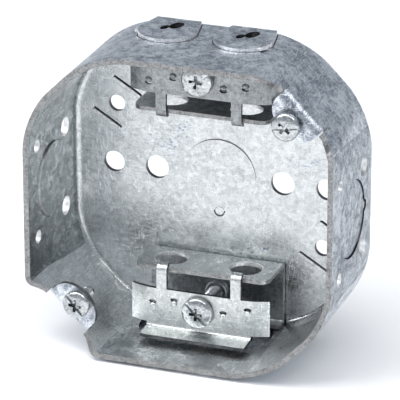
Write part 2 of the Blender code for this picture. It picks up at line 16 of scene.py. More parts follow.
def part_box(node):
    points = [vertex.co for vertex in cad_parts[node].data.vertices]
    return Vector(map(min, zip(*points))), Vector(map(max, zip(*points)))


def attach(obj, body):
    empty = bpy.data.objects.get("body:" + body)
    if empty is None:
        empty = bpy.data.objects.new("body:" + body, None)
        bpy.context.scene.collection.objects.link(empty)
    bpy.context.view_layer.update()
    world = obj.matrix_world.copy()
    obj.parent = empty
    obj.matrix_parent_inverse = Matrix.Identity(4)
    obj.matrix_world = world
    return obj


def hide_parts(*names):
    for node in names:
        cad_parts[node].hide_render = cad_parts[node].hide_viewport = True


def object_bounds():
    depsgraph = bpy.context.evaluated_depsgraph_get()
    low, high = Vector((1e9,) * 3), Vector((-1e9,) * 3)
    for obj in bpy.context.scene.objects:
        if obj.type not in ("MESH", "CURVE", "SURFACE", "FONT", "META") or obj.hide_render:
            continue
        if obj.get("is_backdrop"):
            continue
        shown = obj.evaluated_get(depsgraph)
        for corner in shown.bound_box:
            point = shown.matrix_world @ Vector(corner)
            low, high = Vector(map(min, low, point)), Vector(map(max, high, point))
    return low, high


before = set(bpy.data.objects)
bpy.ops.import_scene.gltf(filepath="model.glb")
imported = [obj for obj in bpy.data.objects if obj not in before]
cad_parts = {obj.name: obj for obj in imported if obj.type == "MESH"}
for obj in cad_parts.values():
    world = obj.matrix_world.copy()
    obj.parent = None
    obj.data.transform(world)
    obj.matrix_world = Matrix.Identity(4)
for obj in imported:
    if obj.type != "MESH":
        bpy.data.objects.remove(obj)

cad_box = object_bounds()
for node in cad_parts.values():
    node.select_set(False)

disc_low, disc_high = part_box("back_knockout")
front = cad_box[0].y
back = cad_box[1].y
half = (cad_box[1].x - cad_box[0].x) / 2
centre = (disc_low.z + disc_high.z) / 2
sheet = disc_high.y - disc_low.y
print(f"box {2 * half * 1000:.1f} mm wide, {(back - front) * 1000:.1f} mm deep, sheet {sheet * 1000:.1f} mm")

# %% [markdown]
# ## Working as by hand
# Blender's edit mode operators act on whatever is selected, so every step starts by choosing exactly what it
# should act on. These few helpers open a piece for editing with nothing selected, select vertices, edges or
# faces by a rule about their middle, and close the piece again.

# %% Helpers for selecting and editing
def deselect():
    if bpy.context.mode != "OBJECT":
        bpy.ops.object.mode_set(mode="OBJECT")
    bpy.ops.object.select_all(action="DESELECT")


def activate(piece):
    deselect()
    bpy.context.view_layer.objects.active = piece
    piece.select_set(True)


def edit(piece):
    activate(piece)
    bpy.ops.object.mode_set(mode="EDIT")
    bpy.ops.mesh.select_all(action="DESELECT")


def select(kind, rule):
    """Select the vertices, edges or faces whose middle passes the rule; faces also pass their normal."""
    bpy.ops.mesh.select_mode(type=kind)
    bpy.ops.mesh.select_all(action="DESELECT")
    bm = bmesh.from_edit_mesh(bpy.context.edit_object.data)
    if kind == "VERT":
        for vert in bm.verts:
            vert.select_set(rule(vert.co))
    elif kind == "EDGE":
        for edge in bm.edges:
            edge.select_set(rule((edge.verts[0].co + edge.verts[1].co) / 2))
    else:
        bm.normal_update()
        for face in bm.faces:
            face.select_set(rule(face.calc_center_median(), face.normal))
    bm.select_flush_mode()
    bmesh.update_edit_mesh(bpy.context.edit_object.data)


def move_points(rule):
    """Give every vertex for which the rule returns a new place that place."""
    bm = bmesh.from_edit_mesh(bpy.context.edit_object.data)
    for vert in bm.verts:
        place = rule(vert.co)
        if place is not None:
            vert.co = place
    bmesh.update_edit_mesh(bpy.context.edit_object.data)


def shift_selected(step):
    """Move the selected vertices by a step."""
    bm = bmesh.from_edit_mesh(bpy.context.edit_object.data)
    for vert in bm.verts:
        if vert.select:
            vert.co += step
    bmesh.update_edit_mesh(bpy.context.edit_object.data)


def outward(piece):
    """Merge doubles and point every face outwards."""
    edit(piece)
    bpy.ops.mesh.select_all(action="SELECT")
    bpy.ops.mesh.remove_doubles(threshold=1e-6)
    bpy.ops.mesh.normals_make_consistent(inside=False)
    bpy.ops.object.mode_set(mode="OBJECT")


def settle(piece):
    """Put the piece's place into its mesh, so that its object sits at the origin."""
    activate(piece)
    bpy.ops.object.transform_apply(location=True, rotation=True, scale=True)


def added(name):
    """Name the piece that an operator has just added, and settle it."""
    piece = bpy.context.object
    piece.name = name
    piece.data.name = name
    settle(piece)
    return piece


def apply_modifier(piece, kind, **settings):
    activate(piece)
    modifier = piece.modifiers.new(kind.lower(), kind)
    for key, value in settings.items():
        setattr(modifier, key, value)
    bpy.ops.object.modifier_apply(modifier=modifier.name)


def combine(piece, tool, operation="DIFFERENCE"):
    """Cut the tool from the piece, or weld it on, and throw the tool away."""
    apply_modifier(
        piece, "BOOLEAN", object=tool, operation=operation, solver="EXACT", material_mode="TRANSFER"
    )
    bpy.data.objects.remove(tool)


def join(pieces, name):
    """Make one object of several, without welding them."""
    deselect()
    for piece in pieces:
        piece.select_set(True)
    bpy.context.view_layer.objects.active = pieces[0]
    bpy.ops.object.join()
    pieces[0].name = name
    return pieces[0]


def round_edges(piece, width, segments=2, angle=35.0):
    apply_modifier(
        piece, "BEVEL", width=width, segments=segments, limit_method="ANGLE", angle_limit=radians(angle),
        use_clamp_overlap=True, harden_normals=False, miter_outer="MITER_ARC",
    )


def smooth(piece, angle=32.0):
    activate(piece)
    bpy.ops.object.shade_smooth_by_angle(angle=radians(angle))
    apply_modifier(piece, "WEIGHTED_NORMAL", keep_sharp=True, weight=50)


print("helpers ready")

# %% [markdown]
# ## The view
# The box is seen from its front right and from a little above, from a metre away with a long lens, so that
# its square sides stay nearly parallel. The camera is turned towards the middle of the box, and the small
# shifts of the lens place the box in the picture.

# %% Camera
azimuth = radians(20.1)
elevation = radians(22.2)
distance = 1.0
target = Vector((0.0, 0.0, centre))
sight = Vector((sin(azimuth) * cos(elevation), -cos(azimuth) * cos(elevation), sin(elevation)))
bpy.ops.object.camera_add(location=target + sight * distance, rotation=(pi / 2 - elevation, 0.0, azimuth))
camera = bpy.context.object
camera.data.sensor_width = 36.0
camera.data.lens = 315.45
camera.data.shift_x = 0.00275
camera.data.shift_y = -0.00825
camera.data.clip_end = 50.0
bpy.context.scene.camera = camera
print("camera at", [round(v, 3) for v in camera.location])

# %% [markdown]
# ## The studio
# Bare metal shows mostly what is round it. A pale floor, a pale sky and three large soft lights give it broad
# bright areas and soft dark ones.

# %% Floor, sky and lights
def paint(name, colour, roughness):
    material = bpy.data.materials.new(name)
    material.use_nodes = True
    shader = material.node_tree.nodes["Principled BSDF"]
    shader.inputs["Base Color"].default_value = (*colour, 1.0)
    shader.inputs["Roughness"].default_value = roughness
    return material


deselect()
bpy.ops.mesh.primitive_plane_add(size=12.0, location=(0.0, 0.0, cad_box[0].z))
floor = added("studio_floor")
floor.data.materials.append(paint("floor paint", (0.93, 0.93, 0.935), 0.9))
floor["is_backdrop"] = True

world = bpy.data.worlds.new("studio sky")
bpy.context.scene.world = world
world.use_nodes = True
sky = world.node_tree.nodes["Background"]
sky.inputs["Color"].default_value = (0.86, 0.92, 1.0, 1.0)
sky.inputs["Strength"].default_value = 0.50
bpy.context.scene.view_settings.view_transform = "Standard"


def soft_light(name, place, size, power):
    """A square lamp at a place, aimed at the middle of the box."""
    deselect()
    bpy.ops.object.light_add(type="AREA", location=place)
    lamp = bpy.context.object
    lamp.name = name
    lamp.data.shape = "RECTANGLE"
    lamp.data.size = size
    lamp.data.size_y = size
    lamp.data.energy = power
    lamp.rotation_euler = (target - Vector(place)).to_track_quat("-Z", "Y").to_euler()


soft_light("overhead", (-0.25, -0.35, 1.1), 0.8, 9.0)
soft_light("front_left", (-0.9, -0.9, 0.9), 0.6, 5.5)
soft_light("right_roll", (0.50, -0.42, 1.05), 0.8, 6.0)
print("studio ready")

# %% [markdown]
# ## Galvanised steel
# Zinc freezes on the sheet in crystals, so the surface is a patchwork of slightly lighter and darker grains,
# crossed by handling scratches and dulled unevenly. Here Voronoi cells, bent by noise, give the grains their
# different greys, coarser and finer noise adds clouds and grit, a stretched noise gives the scratches, and the
# same patterns vary the roughness and a shallow bump. Small specks of blue marking dye lie in patches on some
# of the inside. The pattern is measured on the object itself in metres, so it doesn't move with the view.
#
# Walls, the corners where the sheet is drawn, sheared edges, clamps and screws each have their own two greys.
# Some of them paint light and shade: darker copies paint shade on the right wall outside, the left wall
# inside, the inner faces of the clamp brackets and the upper pressure plate, and a lighter copy paints light
# on the two lower corners inside. The near-black walls of punched holes are mostly painted shade, and the
# bright cut edges that are burnished are partly a painted highlight.

# %% A zinc finish made of grains, scuffs and scratches
def link(tree, source, target_socket):
    tree.links.new(source, target_socket)


def node(tree, kind, **settings):
    made = tree.nodes.new(kind)
    for key, value in settings.items():
        setattr(made, key, value)
    return made


def noise(tree, place, scale, detail=3.0, roughness=0.55, distortion=0.0):
    made = node(tree, "ShaderNodeTexNoise")
    made.inputs["Scale"].default_value = scale
    made.inputs["Detail"].default_value = detail
    made.inputs["Roughness"].default_value = roughness
    made.inputs["Distortion"].default_value = distortion
    link(tree, place, made.inputs["Vector"])
    return made.outputs["Fac"]


def stretched(tree, place, scale, turn=(0.0, 0.0, 0.0)):
    mapping = node(tree, "ShaderNodeMapping")
    mapping.inputs["Scale"].default_value = scale
    mapping.inputs["Rotation"].default_value = turn
    link(tree, place, mapping.inputs["Vector"])
    return mapping.outputs["Vector"]


def spread(tree, value, low, high, to_low=0.0, to_high=1.0):
    made = node(tree, "ShaderNodeMapRange")
    for socket, number in zip(("From Min", "From Max", "To Min", "To Max"), (low, high, to_low, to_high)):
        made.inputs[socket].default_value = number
    link(tree, value, made.inputs["Value"])
    return made.outputs["Result"]


def blend(tree, share, first, second, mode="MIX"):
    """Mix two colours; a colour is a socket or a grey or RGB value."""
    made = node(tree, "ShaderNodeMix", data_type="RGBA", blend_type=mode)
    for socket, value in (("Factor", share), ("A", first), ("B", second)):
        wanted = "VALUE" if socket == "Factor" else "RGBA"
        inlet = [s for s in made.inputs if s.name == socket and s.type == wanted][0]
        if isinstance(value, (int, float)):
            inlet.default_value = value if socket == "Factor" else (value, value, value, 1.0)
        elif isinstance(value, tuple):
            inlet.default_value = (*value, 1.0)
        else:
            link(tree, value, inlet)
    return [s for s in made.outputs if s.type == "RGBA"][0]


def add_up(tree, *terms):
    """Sum of socket times weight pairs."""
    total = None
    for socket, weight in terms:
        made = node(tree, "ShaderNodeMath", operation="MULTIPLY_ADD")
        link(tree, socket, made.inputs[0])
        made.inputs[1].default_value = weight
        if total is None:
            made.inputs[2].default_value = 0.0
        else:
            link(tree, total, made.inputs[2])
        total = made.outputs[0]
    return total


dye_blue = (0.10, 0.17, 0.34)


def zinc(
    name, dark, light, roughness, grain=420.0, contrast=1.0, scratch=1.0, bump=0.35, specks=0.0, cloud=1.0
):
    """A zinc finish between two greys; grain is the number of crystals in a metre."""
    material = bpy.data.materials.new(name)
    material.use_nodes = True
    tree = material.node_tree
    shader = tree.nodes["Principled BSDF"]
    shader.inputs["Metallic"].default_value = 1.0
    place = node(tree, "ShaderNodeTexCoord").outputs["Object"]

    # grains: cells of a bent Voronoi pattern, each with its own grey
    bend = node(tree, "ShaderNodeVectorMath", operation="MULTIPLY_ADD")
    bending = node(tree, "ShaderNodeTexNoise")
    bending.inputs["Scale"].default_value = grain * 0.8
    bending.inputs["Detail"].default_value = 4.0
    link(tree, place, bending.inputs["Vector"])
    link(tree, bending.outputs["Color"], bend.inputs[0])
    bend.inputs[1].default_value = (2.2 / grain,) * 3
    link(tree, place, bend.inputs[2])
    cells = node(tree, "ShaderNodeTexVoronoi", feature="F1")
    cells.inputs["Scale"].default_value = grain
    link(tree, bend.outputs[0], cells.inputs["Vector"])
    split = node(tree, "ShaderNodeSeparateColor")
    link(tree, cells.outputs["Color"], split.inputs[0])
    grains = split.outputs[0]

    # clouds, mottling and fine grit, and two sets of scratches
    clouds = noise(tree, place, grain * 0.16, 4.0, 0.6)
    mottle = noise(tree, stretched(tree, place, (1.0, 1.0, 1.0), (0.5, 0.3, 0.2)), grain * 1.1, 6.0, 0.68, 0.6)
    grit = noise(tree, place, grain * 5.5, 3.0, 0.6)
    first = noise(tree, stretched(tree, place, (260.0, 260.0, 5200.0), (0.35, 0.2, 0.1)), 1.0, 2.0, 0.5)
    second = noise(tree, stretched(tree, place, (6200.0, 300.0, 300.0), (0.2, 0.5, -0.25)), 1.0, 2.0, 0.5)
    scratches = add_up(
        tree, (spread(tree, first, 0.60, 0.68), 0.5 * scratch),
        (spread(tree, second, 0.61, 0.69), 0.5 * scratch),
    )

    tone = add_up(
        tree, (grains, 0.12 * contrast), (clouds, 0.50 * cloud * contrast),
        (mottle, 0.85 * cloud * contrast), (grit, 0.55 * contrast),
    )
    middle_tone = 0.5 * (0.12 + 1.35 * cloud + 0.55) * contrast
    share = spread(tree, tone, middle_tone - 0.15 * contrast, middle_tone + 0.15 * contrast)
    colour = blend(tree, share, dark, light)
    bright = tuple(min(1.0, 1.15 * c) for c in light)
    colour = blend(tree, spread(tree, scratches, 0.0, 0.5, 0.0, 0.6), colour, bright)
    if specks:
        dots = noise(tree, stretched(tree, place, (900.0, 900.0, 1700.0)), 1.0, 1.0, 0.5)
        where = noise(tree, place, 34.0, 2.0, 0.5)
        both = node(tree, "ShaderNodeMath", operation="MULTIPLY")
        link(tree, spread(tree, dots, 0.63, 0.67, 0.0, specks), both.inputs[0])
        link(tree, spread(tree, where, 0.50, 0.60), both.inputs[1])
        colour = blend(tree, both.outputs[0], colour, dye_blue)
    link(tree, colour, shader.inputs["Base Color"])

    rough = add_up(tree, (share, -0.12 * contrast), (clouds, 0.20), (grit, 0.10), (scratches, -0.10))
    rough_out = node(tree, "ShaderNodeMath", operation="ADD", use_clamp=True)
    link(tree, rough, rough_out.inputs[0])
    rough_out.inputs[1].default_value = roughness
    link(tree, rough_out.outputs[0], shader.inputs["Roughness"])

    height = add_up(tree, (mottle, 0.6), (grit, 0.45), (scratches, -0.5), (clouds, 2.0))
    relief = node(tree, "ShaderNodeBump")
    relief.inputs["Strength"].default_value = bump
    relief.inputs["Distance"].default_value = 0.0002
    link(tree, height, relief.inputs["Height"])
    link(tree, relief.outputs["Normal"], shader.inputs["Normal"])
    return material


wall_zinc = zinc("mottled zinc", (0.22, 0.25, 0.30), (0.84, 0.88, 0.93), 0.24, scratch=1.6)
# A darker copy of the mottled zinc: painted shade on the right wall outside and on the right disc's outer
# face.
right_outside_painted_shade_zinc = zinc("mottled right side, painted shade", (0.12, 0.14, 0.17), (0.50, 0.54, 0.58), 0.26, scratch=1.6)
drawn_zinc = zinc(
    "drawn inside", (0.34, 0.36, 0.37), (0.76, 0.78, 0.79), 0.18, contrast=0.8, scratch=1.4, cloud=0.7
)
inside_zinc = zinc(
    "inside zinc", (0.38, 0.40, 0.41), (0.79, 0.81, 0.81), 0.12,
    grain=700.0, scratch=1.2, specks=0.9, cloud=0.35,
)
# A darker copy of the drawn inside finish: painted shade on the left wall inside and on the left disc's inner
# face.
left_inside_painted_shade_zinc = zinc(
    "left inside, painted shade", (0.15, 0.17, 0.18), (0.54, 0.57, 0.58), 0.20, scratch=1.4, specks=0.9, cloud=0.7
)
# A lighter copy of the drawn inside finish: painted light on the two lower slanting corners inside.
lower_corner_painted_light_zinc = zinc(
    "drawn lower corner, painted light", (0.52, 0.55, 0.56), (0.95, 0.97, 0.98), 0.22, contrast=0.9, scratch=1.4, cloud=0.7
)
edge_zinc = zinc("sheared edge", (0.08, 0.08, 0.08), (0.46, 0.46, 0.46), 0.26, grain=2000.0, cloud=0.45)
# Cut edges that are burnished, lighter than the zinc: partly real, partly a painted highlight, on the ribs,
# the side holes, the pry-out sides and ties, the cable holes and the left disc's rim.
burnished_edge_and_painted_highlight = zinc("burnished edge, partly painted highlight", (0.55, 0.56, 0.57), (0.98, 0.98, 0.98), 0.36, grain=1100.0)
# Near-black walls for punched holes, seams and slits: mostly painted shade, partly the darker cut steel.
punched_edge_painted_shade = zinc("punched edge, painted shade", (0.02, 0.02, 0.02), (0.16, 0.16, 0.17), 0.30, grain=1100.0)
clamp_zinc = zinc("clamp zinc", (0.40, 0.42, 0.42), (0.80, 0.82, 0.81), 0.20, grain=900.0, cloud=0.45)
# A darker copy of the clamp zinc: painted shade on the upper pressure plate.
upper_plate_painted_shade_zinc = zinc("upper plate zinc, painted shade", (0.15, 0.16, 0.17), (0.42, 0.44, 0.44), 0.26, grain=900.0, cloud=0.45)
# A darker grey for the inner faces of the bent strip of each clamp bracket and its collar: painted shade.
painted_shade_clamp_inside = zinc("clamp inside, painted shade", (0.24, 0.26, 0.27), (0.60, 0.62, 0.63), 0.26, grain=700.0, contrast=0.8)
screw_zinc = zinc(
    "screw zinc", (0.24, 0.26, 0.27), (0.72, 0.74, 0.75), 0.08,
    grain=1500.0, contrast=0.5, scratch=0.4, bump=0.12,
)
print("zinc finishes:", [m.name for m in bpy.data.materials])

# %% [markdown]
# ## The shell
# The real box is drawn from one flat sheet: an octagon with rounded corners, a rounded turn between the back
# and the wall, and on two opposite sides the rim sinks and a tab is folded in to take a cover screw. The
# shell is modelled the same way, as a surface without thickness. A square is chamfered into an octagon, its
# corners are rounded, and it is extruded backwards in steps. Only then are the corners beside the two tabs
# drawn tighter towards the rim, and the sheet gets its thickness last, so that it is even everywhere.

# %% Sizes of the shell
diagonal = 0.0508       # from the middle to each of the four slanting sides
corner_radius = 0.026
ear_corner_radius = 0.005
back_bend = 0.0032
fold_radius = 0.0030
ear_depth = 0.0050
ear_half_width = 0.0077
ear_reach = 0.0063
slit = 0.00035
rim_dip = 0.0045
corner_steps = 8
tip_start = 0.0008      # where an ear's rounded end begins
turn = tan(pi / 8)
chamfer = 2 * half - diagonal * sqrt(2)
diagonal_half = chamfer / sqrt(2)
round_half = diagonal_half - corner_radius * turn


def across(place):
    """Distance from the middle of the box along the ear diagonal, and distance along the ear's side."""
    x, z = place.x, place.z - centre
    return (x + z) / sqrt(2), (z - x) / sqrt(2)


def from_diagonal(reach, along, y):
    return Vector(((reach - along) / sqrt(2), y, centre + (reach + along) / sqrt(2)))


print(f"octagon {2 * diagonal * 1000:.1f} mm across its diagonals")

# %% Chamfer a square, round its corners and extrude the wall
ear_steps = [ear_half_width * sin(pi * i / 12 - pi / 2) for i in range(13)]
ear_side = diagonal_half - ear_corner_radius * turn
outer_steps = [ear_half_width + slit + (ear_side - ear_half_width - slit) * i / 4 for i in range(4)]
stations = [-v for v in reversed(outer_steps)] + ear_steps + outer_steps

deselect()
bpy.ops.mesh.primitive_plane_add(size=2 * half, location=(0.0, front, centre), rotation=(pi / 2, 0.0, 0.0))
shell = added("drawn_shell")
edit(shell)
bpy.ops.mesh.select_all(action="SELECT")
bpy.ops.mesh.bevel(offset=chamfer, affect="VERTICES", segments=1)
bpy.ops.mesh.select_all(action="SELECT")
bpy.ops.mesh.bevel(offset=corner_radius * turn, affect="VERTICES", segments=corner_steps)
select("EDGE", lambda p: abs(abs(across(p)[0]) - diagonal) < 1e-5 and abs(across(p)[1]) < 1e-3)
bpy.ops.mesh.subdivide(number_cuts=len(stations))

rows = (0.0085, 0.012, 0.016, 0.021, 0.027, 0.0335, back - front)
select("FACE", lambda p, n: True)
done = 0.0
for depth in rows:
    bpy.ops.mesh.extrude_region_move(TRANSFORM_OT_translate={"value": (0.0, depth - done, 0.0)})
    done = depth
select("FACE", lambda p, n: abs(p.y - front) < 1e-6)
bpy.ops.mesh.delete(type="ONLY_FACE")
print("wall columns:", len([v for v in bmesh.from_edit_mesh(shell.data).verts if abs(v.co.y - front) < 1e-6]))

# %% Turn the wall into the back, and draw the corners beside the ears tighter towards the rim
select("FACE", lambda p, n: abs(p.y - back) < 1e-6)
bpy.ops.mesh.select_mode(type="EDGE")
bpy.ops.mesh.region_to_loop()
bpy.ops.mesh.bevel(offset=back_bend, segments=6, profile=0.5, affect="EDGES")
select("FACE", lambda p, n: abs(p.y - back) < 1e-6)
bpy.ops.mesh.inset(thickness=0.0006)

sharp_corners = []
for sign in (1, -1):
    for side in (1, -1):
        sharp_corners.append(from_diagonal(sign * diagonal, side * diagonal_half, 0.0))
blend_start = rows[0]
blend_end = rows[-2]


def tighten(p):
    """Draw the corners beside the ears in to their small radius at the rim, easing back to the large one."""
    depth = p.y - front
    if depth > blend_end + 1e-6:
        return None
    share = min(1.0, max(0.0, (depth - blend_start) / (blend_end - blend_start)))
    radius = ear_corner_radius + (corner_radius - ear_corner_radius) * share * share * (3 - 2 * share)
    reach, along = across(p)
    if abs(abs(reach) - diagonal) < 1e-5 and abs(along) < round_half - 1e-5:
        place = round((along / round_half + 1) / 2 * (len(stations) + 1)) - 1
        flat = (diagonal_half - radius * turn) / ear_side
        return from_diagonal(reach, stations[place] * flat, p.y)
    for corner in sharp_corners:
        flat_place = Vector((p.x - corner.x, 0.0, p.z - corner.z))
        if flat_place.length < corner_radius * turn + 1e-5:
            moved = corner + flat_place * (radius / corner_radius)
            return Vector((moved.x, p.y, moved.z))
    return None


move_points(tighten)
print("corners beside the ears tightened")

# %% Sink the rim beside the ears and fold the ears in
def sink(p):
    """Lower the rim towards the ears along a smooth curve."""
    if p.y > front + 1e-6:
        return None
    reach, along = across(p)
    if abs(reach) < diagonal - 0.004:
        return None
    ear_end = ear_half_width + slit
    share = min(1.0, max(0.0, (diagonal_half - abs(along)) / (diagonal_half - ear_end)))
    return Vector((p.x, front + rim_dip * share * share * (3 - 2 * share), p.z))


ear_line = front + rows[0]


def beside_ear(p):
    reach, along = across(p)
    gap_half = ear_half_width + slit - 1e-5
    return abs(reach) > diagonal - 1e-4 and abs(along) < gap_half and p.y < ear_line - 1e-4


move_points(sink)
select("FACE", lambda p, n: beside_ear(p))
bpy.ops.mesh.delete(type="FACE")
for sign in (1, -1):
    normal = Vector((sign / sqrt(2), 0.0, sign / sqrt(2)))
    sideways = Vector((-1.0, 0.0, 1.0)).normalized()

    def on_ear(p, y, reach):
        n, along = across(p)
        return abs(p.y - y) < 1e-5 and abs(n * sign - reach) < 1e-5 and abs(along) < ear_half_width - 1e-5

    select("EDGE", lambda p: on_ear(p, ear_line, diagonal))
    rise = ear_line - (front + ear_depth + fold_radius)
    bpy.ops.mesh.extrude_edges_move(TRANSFORM_OT_translate={"value": (0.0, -rise, 0.0)})
    hinge_line = from_diagonal(sign * (diagonal - fold_radius), 0.0, front + ear_depth + fold_radius)
    bpy.ops.mesh.spin(steps=6, angle=sign * pi / 2, center=hinge_line, axis=sideways)
    select("EDGE", lambda p: on_ear(p, front + ear_depth, diagonal - fold_radius))
    for reach in (tip_start, ear_reach - tip_start):
        bpy.ops.mesh.extrude_edges_move(TRANSFORM_OT_translate={"value": normal * -reach})


def round_tip(p):
    """Round the free end of an ear."""
    reach, along = across(p)
    tip = diagonal - fold_radius - ear_reach
    if abs(p.y - front - ear_depth) > 1e-5 or abs(abs(reach) - tip) > 1e-5:
        return None
    share = min(1.0, abs(along) / ear_half_width)
    length = tip_start + (ear_reach - tip_start) * sqrt(1 - share * share)
    return from_diagonal((diagonal - fold_radius - length) * (1 if reach > 0 else -1), along, p.y)


move_points(round_tip)
bpy.ops.object.mode_set(mode="OBJECT")
outward(shell)
print("shell faces:", len(shell.data.polygons), "lowest y", round(min(v.co.y for v in shell.data.vertices), 5))

# %% Give the sheet its thickness, with its own finish inside
wall_slot, inside_slot, edge_slot, drawn_slot, left_inside_painted_shade_slot, lower_corner_painted_light_slot, right_outside_painted_shade_slot = range(7)
for finish in (wall_zinc, inside_zinc, edge_zinc):
    shell.data.materials.append(finish)
apply_modifier(
    shell, "SOLIDIFY", thickness=sheet, offset=-1.0, use_even_offset=True, use_quality_normals=True,
    material_offset=inside_slot, material_offset_rim=edge_slot,
)
for finish in (drawn_zinc, left_inside_painted_shade_zinc, lower_corner_painted_light_zinc, right_outside_painted_shade_zinc):
    shell.data.materials.append(finish)
for face in shell.data.polygons:
    if face.material_index == inside_slot and face.normal.y > -0.6:
        face.material_index = drawn_slot
        # the left wall inside takes the darker copy: painted shade
        if face.normal.x > 0.9:
            face.material_index = left_inside_painted_shade_slot
        # the two lower slanting corners inside take the lighter copy: painted light
        elif face.normal.z > 0.3 and abs(face.normal.x) > 0.3:
            face.material_index = lower_corner_painted_light_slot
    # the right wall outside takes the darker copy: painted shade
    if face.material_index == wall_slot and face.normal.x > 0.95:
        face.material_index = right_outside_painted_shade_slot
print("shell spans", [round(v * 1000, 1) for v in shell.dimensions])

# %% [markdown]
# ## Holes, seams and ribs
# The shell is punched with plain nail and screw holes, and its three round knockouts are cut nearly free. The
# seam round the back knockout can't be seen through, because the disc and its hole are stepped: the front
# part of the hole is wider than the back part, and the disc's back part is smaller again. The cylinders for
# the holes are joined into a few cutting tools, and a cut face takes the finish of the tool that made it.
# Four short ribs are raised inside the back, each in a bright finish that paints a highlight on it, with a
# thin cut above it whose near-black walls paint a line of shade, and a groove behind it.

# %% Cutting tools
def drill(x, y, z, radius, length, axis="Y", steps=48):
    """A cylinder along X, Y or Z with its middle at a place measured from the middle of the box."""
    turns = {"X": (0.0, pi / 2, 0.0), "Y": (pi / 2, 0.0, 0.0), "Z": (0.0, 0.0, 0.0)}
    deselect()
    bpy.ops.mesh.primitive_cylinder_add(
        vertices=steps, radius=radius, depth=length, location=(x, y, centre + z), rotation=turns[axis]
    )
    return added("drill")


def capsule(x, y, z, length, width, depth, slope):
    """A round-ended bar across the back: a cylinder whose two halves are pulled apart."""
    deselect()
    bpy.ops.mesh.primitive_cylinder_add(
        vertices=24, radius=width / 2, depth=depth, rotation=(pi / 2, 0.0, 0.0)
    )
    bar = added("capsule")
    edit(bar)
    pull = (length - width) / 2
    move_points(lambda p: p + Vector((pull if p.x > 1e-7 else -pull if p.x < -1e-7 else 0.0, 0.0, 0.0)))
    bpy.ops.object.mode_set(mode="OBJECT")
    bar.rotation_euler = (0.0, -slope, 0.0)
    bar.location = (x, y, centre + z)
    settle(bar)
    return bar


def placed(piece, place, up=1):
    """Move a piece made at the origin to its place, upside down for the bottom of the box."""
    piece.rotation_euler = (0.0, 0.0 if up > 0 else pi, 0.0)
    piece.location = place
    settle(piece)
    return piece


pry_low, pry_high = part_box("top_right_pryout")
pry_radius = (pry_high.x - pry_low.x) / 2
pry_middle = pry_low.y + pry_radius
pry_hinge = pry_high.y
pry_hinge_half = 0.0067     # half the width of the tab at its straight edge
pry_raise = pry_high.z - centre - half
pry_grow = 0.00025          # room between the tab and its opening
cable_offset = (pry_high.x + pry_low.x) / 2


def tongue_blank(name, grow=0.0):
    """The flat outline of a pry-out: round in front, narrowing to a straight edge at the back."""
    deselect()
    bpy.ops.mesh.primitive_circle_add(vertices=96, radius=pry_radius + grow, fill_type="NGON")
    blank = added(name)
    edit(blank)
    bpy.ops.mesh.select_all(action="SELECT")
    bpy.ops.mesh.bisect(plane_co=(0.0, 0.0, 0.0), plane_no=(0.0, 1.0, 0.0), clear_outer=True)
    select("EDGE", lambda p: abs(p.y) < 1e-6)
    run = pry_hinge - pry_middle + grow
    bpy.ops.mesh.extrude_edges_move(TRANSFORM_OT_translate={"value": (0.0, run, 0.0)})
    narrow = (pry_hinge_half + grow) / (pry_radius + grow)
    move_points(lambda p: Vector((p.x * narrow, p.y, p.z)) if p.y > 1e-4 else None)
    bpy.ops.object.mode_set(mode="OBJECT")
    outward(blank)
    return blank


knockout_radius = (disc_high.x - disc_low.x) / 2
seam = 0.00030
back_seam = 0.00044
step_in = 0.0005            # how far the back part of the hole is stepped in
tie_radius = 0.0018
deep = 3 * sheet            # long enough to go right through a wall
print(f"knockouts {2000 * knockout_radius:.1f} mm across")


def in_finish(piece, *finishes):
    """Give the piece these finishes in place of its own; faces keep the first one."""
    piece.data.materials.clear()
    for finish in finishes:
        piece.data.materials.append(finish)
    return piece


# %% Press the ribs, then cut every hole
rib_places = [(s * -0.0286, s * 0.0235) for s in (1, -1)] + [(s * -0.0349, s * 0.0130) for s in (1, -1)]
rib_slope = radians(-31)
rib_width = 0.0013
inside_back = back - sheet
for x, z in rib_places:
    rib = capsule(x, inside_back, z, 0.0099, rib_width, 0.0009, rib_slope)
    round_edges(rib, 0.0003, 2)
    groove = capsule(x, back, z, 0.0103, rib_width, 0.0007, rib_slope)
    # a thin cut above each rib whose near-black walls paint a line of shade
    painted_shadow_moat = capsule(x + 0.00025, inside_back, z + 0.00042, 0.0101, 0.0012, 0.0008, rib_slope)
    combine(shell, in_finish(painted_shadow_moat, punched_edge_painted_shade))
    # the rib itself in the bright finish: a painted highlight
    combine(shell, in_finish(rib, burnished_edge_and_painted_highlight), "UNION")
    combine(shell, in_finish(groove, wall_zinc))

side_disc_low, side_disc_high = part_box("left_knockout")
side_knockout_y = (side_disc_low.y + side_disc_high.y) / 2
screw_low, screw_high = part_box("lower_clamp_screw")
screw_drop = centre - (screw_low.z + screw_high.z) / 2
cover_low, cover_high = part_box("upper_cover_screw")
cover_offset = (cover_low.x + cover_high.x) / 2

# holes in the back are given as radius and distance from the middle, and those in a side as radius, distance
# behind the middle of its knockout, and height
back_holes = ((0.00355, 0.0193), (0.0032, 0.0327))
corner_hole_radius = 0.0025
clamp_hole_radius = 0.0029
cover_hole_radius = 0.00235
side_holes = ((0.0020, -0.01125, 0.0140), (0.0029, 0.00995, 0.0124))

